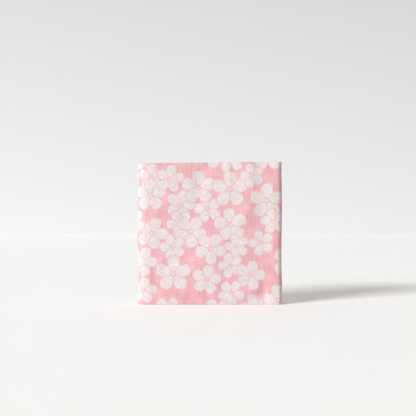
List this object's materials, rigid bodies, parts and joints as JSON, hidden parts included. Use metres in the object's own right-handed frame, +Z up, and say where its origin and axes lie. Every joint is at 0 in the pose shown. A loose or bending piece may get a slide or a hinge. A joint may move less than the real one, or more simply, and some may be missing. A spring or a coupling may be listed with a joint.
{
  "type": "folded tenugui towel",
  "caption": "Thin printed cotton towel, folded in three and then in halves into a square pack that stands on its edge.",
  "frame": {"origin": "middle of the underside, on the surface that the pack stands on", "axes": "+Z up, the front faces -Y, +X to the right of the front, from the round outer fold towards the side where the band's ends lie"},
  "size_m": [0.1154, 0.0176, 0.113],
  "materials": {
    "printed_cotton": "matte plain-weave cotton, printed with off-white blossoms on pink"
  },
  "bodies": {
    "root": {"folded_cloth": "printed_cotton"}
  },
  "joints": []
}
